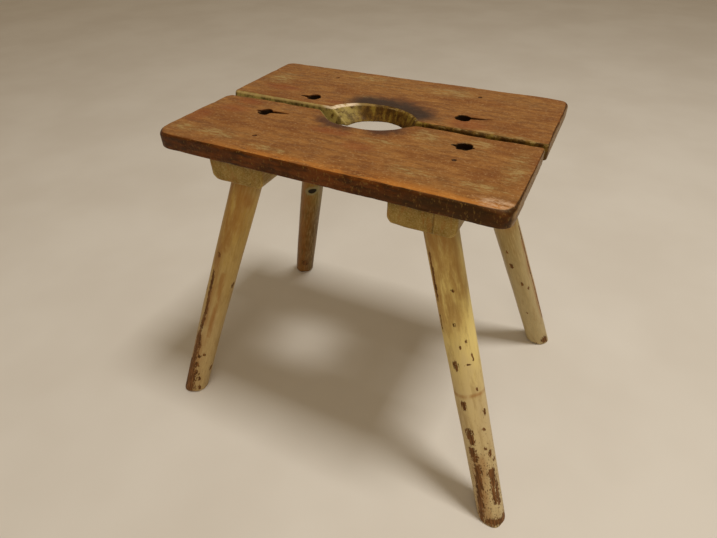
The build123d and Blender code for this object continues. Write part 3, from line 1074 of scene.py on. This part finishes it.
    # Painted highlight on worn wood: a near-white line along the rim at the hole's rear left
    worn_and_highlit_spot = seat_spot(g, at, -48, 18, (28, 22, 20), 0.6)
    worn_and_highlit_spot = g.times(worn_and_highlit_spot, g.ramp(paint, 0.38, 0.52))
    colour = g.tint(colour, g.times(arris, worn_and_highlit_spot), 0.85, (232, 212, 186))

    # Painted shade: the screw recesses, nail dents and splits are painted nearly black inside
    colour = g.tint(colour, g.attribute("pit"), 0.96, (30, 19, 12))

    gloss = {"Value": mottle, "From Min": 0.35, "From Max": 0.65, "To Min": 0.36, "To Max": 0.58}
    height = g.math("ADD", g.times(streaks, 0.6), g.times(speckle, 0.4))
    g.finish(colour, g.add("ShaderNodeMapRange", gloss), height, 0.45)
    return g.material


PAINT_ROUGHNESS = 0.45
WOOD_ROUGHNESS = 0.75
PAINT_BUMP_HEIGHT = 0.35


def paint_over_wood(g, grain, paint, worn, stained, specks):
    """Aged paint that has stains, and chips down to brown wood.

    Returns its colour, where it is bare, and its height for the bumps.
    """
    brushed = g.noise(g.stretch(grain, (0.10, 1, 1)), 1.8, detail=4, rough=0.6)
    grime = g.noise(g.stretch(grain, (0.20, 1, 1)), 9, detail=5, rough=0.7)
    colour = g.tint(paint, g.ramp(brushed, 0.42, 0.68), 0.30, (214, 192, 138))
    colour = g.tint(colour, g.ramp(grime, 0.50, 0.66), 0.35, (146, 110, 58))
    colour = g.tint(colour, g.times(stained, g.ramp(grime, 0.30, 0.55)), 0.60, (154, 98, 40))
    ragged = g.noise(g.stretch(grain, (0.45, 1, 1)), 2.6, detail=5, rough=0.68)
    raggedness = g.times(g.times(g.ramp(worn, 0.0, 0.5), g.ramp(worn, 1.4, 0.6)), 4.4)
    chipped = g.math("ADD", worn, g.times(g.math("SUBTRACT", ragged, 0.5), raggedness))
    flecks = g.noise(g.stretch(grain, (0.55, 1, 1)), 1.7, detail=4, rough=0.65)
    speckled = g.math("ADD", flecks, g.times(specks, 0.15))
    bare = g.most(g.ramp(chipped, 0.62, 0.74), g.ramp(speckled, 0.765, 0.80))
    halo = g.most(g.ramp(chipped, 0.30, 0.62), g.ramp(speckled, 0.70, 0.765))
    streaks = g.noise(g.stretch(grain, (0.08, 1, 1)), 1.6, detail=3)
    wood = g.mix(g.ramp(streaks, 0.35, 0.65), srgb(82, 52, 26), srgb(136, 92, 52))
    colour = g.tint(colour, halo, 0.35, (124, 94, 52))
    colour = g.mix(bare, colour, wood)
    # Crevices painted dark: painted shade there, with grime
    colour = g.tint(colour, g.ramp(g.attribute("crevice"), 0.35, 0.8), 0.8, (44, 28, 14))
    height = g.math("SUBTRACT", g.times(brushed, 0.35), bare)
    return colour, bare, height


def leg_material(name, top_paint, foot_paint, speck_level):
    g = Graph(name)
    grain = g.attribute("grain", "Vector")
    up = g.attribute("up")
    clouds = g.noise(g.stretch(grain, (0.3, 1, 1)), 22, detail=4)
    raised = g.math("ADD", up, g.times(g.math("SUBTRACT", clouds, 0.5), 260.0))
    paint = g.mix(g.ramp(raised, 120, 330), srgb(*foot_paint), srgb(*top_paint))
    worn = g.most(g.attribute("wear"), g.times(g.attribute("edge"), 0.45))
    specks = g.times(g.ramp(up, 250, 60), speck_level)
    shade = g.ramp(up, UNDER_BATTENS - 12, UNDER_BATTENS + 16)
    paint = g.tint(paint, shade, 0.45, (84, 52, 24))
    colour, bare, height = paint_over_wood(g, grain, paint, worn, g.attribute("stain"), specks)
    knot = g.attribute("knot")
    # Painted glint: a pale grey-green ring round the knot hole's rim
    colour = g.tint(colour, g.ramp(knot, 2.0, 1.4), 0.55, (150, 150, 116))
    # The knot's black middle: dark knot wood with the hole's shade painted in
    colour = g.tint(colour, g.ramp(knot, 1.05, 0.85), 1.0, (24, 20, 14))
    rough = g.add("ShaderNodeMapRange", {"Value": bare, "To Min": PAINT_ROUGHNESS, "To Max": WOOD_ROUGHNESS})
    g.finish(colour, rough, height, PAINT_BUMP_HEIGHT)
    return g.material


def batten_material():
    g = Graph("batten_paint")
    grain = g.attribute("grain", "Vector")
    at = g.place_mm()
    clouds = g.noise(at, 12, detail=4)
    paint = g.mix(g.ramp(clouds, 0.35, 0.65), srgb(132, 106, 44), srgb(158, 130, 66))
    shade = g.ramp(g.split(at)[2], UNDER_PLANKS - 20, UNDER_PLANKS - 2)
    paint = g.tint(paint, shade, 0.8, (78, 58, 28))
    drips = g.noise(g.stretch(at, (1, 1, 0.2)), 4.0, detail=3)
    stained = g.times(g.ramp(drips, 0.52, 0.64), 0.7)
    edge = g.attribute("edge")
    # Convex edges painted paler: worn paint, and a painted highlight along the rounded edges
    paint = g.tint(paint, g.ramp(edge, 0.15, 0.5), 0.5, (196, 168, 96))
    worn = g.times(edge, 0.30)
    colour, bare, height = paint_over_wood(g, grain, paint, worn, stained, 0.3)
    colour = g.tint(colour, g.attribute("crack"), 0.55, (60, 40, 18))
    rough = g.add("ShaderNodeMapRange", {"Value": bare, "To Min": PAINT_ROUGHNESS, "To Max": WOOD_ROUGHNESS})
    g.finish(colour, rough, height, PAINT_BUMP_HEIGHT)
    return g.material


def bare_wood_material():
    """Unpainted wood of the hidden wedges."""
    g = Graph("bare_wood")
    at = g.place_mm()
    fibres = g.noise(g.stretch(at, (1, 1, 0.08)), 1.2, detail=4)
    colour = g.mix(g.ramp(fibres, 0.3, 0.7), srgb(150, 112, 70), srgb(198, 160, 108))
    g.finish(colour, 0.7, fibres, 0.2)
    return g.material


def steel_material():
    """Dark old steel with rust blooms."""
    g = Graph("old_steel")
    at = g.place_mm()
    bloom = g.noise(at, 1.6, detail=5, rough=0.7)
    colour = g.mix(g.ramp(bloom, 0.42, 0.6), srgb(44, 40, 38), srgb(92, 48, 26))
    rust_is_rough = {"Value": bloom, "From Min": 0.4, "From Max": 0.6, "To Min": 0.4, "To Max": 0.85}
    g.finish(colour, g.add("ShaderNodeMapRange", rust_is_rough), bloom, 0.1)
    return g.material


def dress_cad_nodes():
    """The wedges, screws and nails stay as the CAD made them, with real materials."""
    for name, node in frame["nodes"].items():
        kind = "wedge" if name.endswith("_wedge") else "steel"
        if name.endswith(("_wedge", "_screw", "_nail")):
            node.data.materials.clear()
            node.data.materials.append(MATERIALS[kind])


# ---- The scene ----

make_camera()
make_lights()
MATERIALS = {
    "seat": seat_material(),
    "front_left": leg_material("front_left_leg_paint", (194, 162, 90), (184, 158, 108), 0.7),
    "front_right": leg_material("front_right_leg_paint", (236, 214, 134), (204, 182, 134), 1.15),
    "rear_right": leg_material("rear_right_leg_paint", (160, 136, 84), (182, 164, 120), 0.6),
    # The rear left leg's paint is darker than the other legs': partly its own colour, and partly painted
    # shade, as it stands under the seat
    "rear_left": leg_material("rear_left_leg_paint", (138, 120, 62), (98, 72, 26), 0.4),
    "batten": batten_material(),
    "wedge": bare_wood_material(),
    "steel": steel_material(),
}
make_floor()
make_front_plank()
make_rear_plank()
make_batten("left", 5)
make_batten("right", 6)
for corner_name, leg_seed in zip(CORNERS, (3, 7, 11, 15)):
    make_leg(corner_name, leg_seed)
dress_cad_nodes()
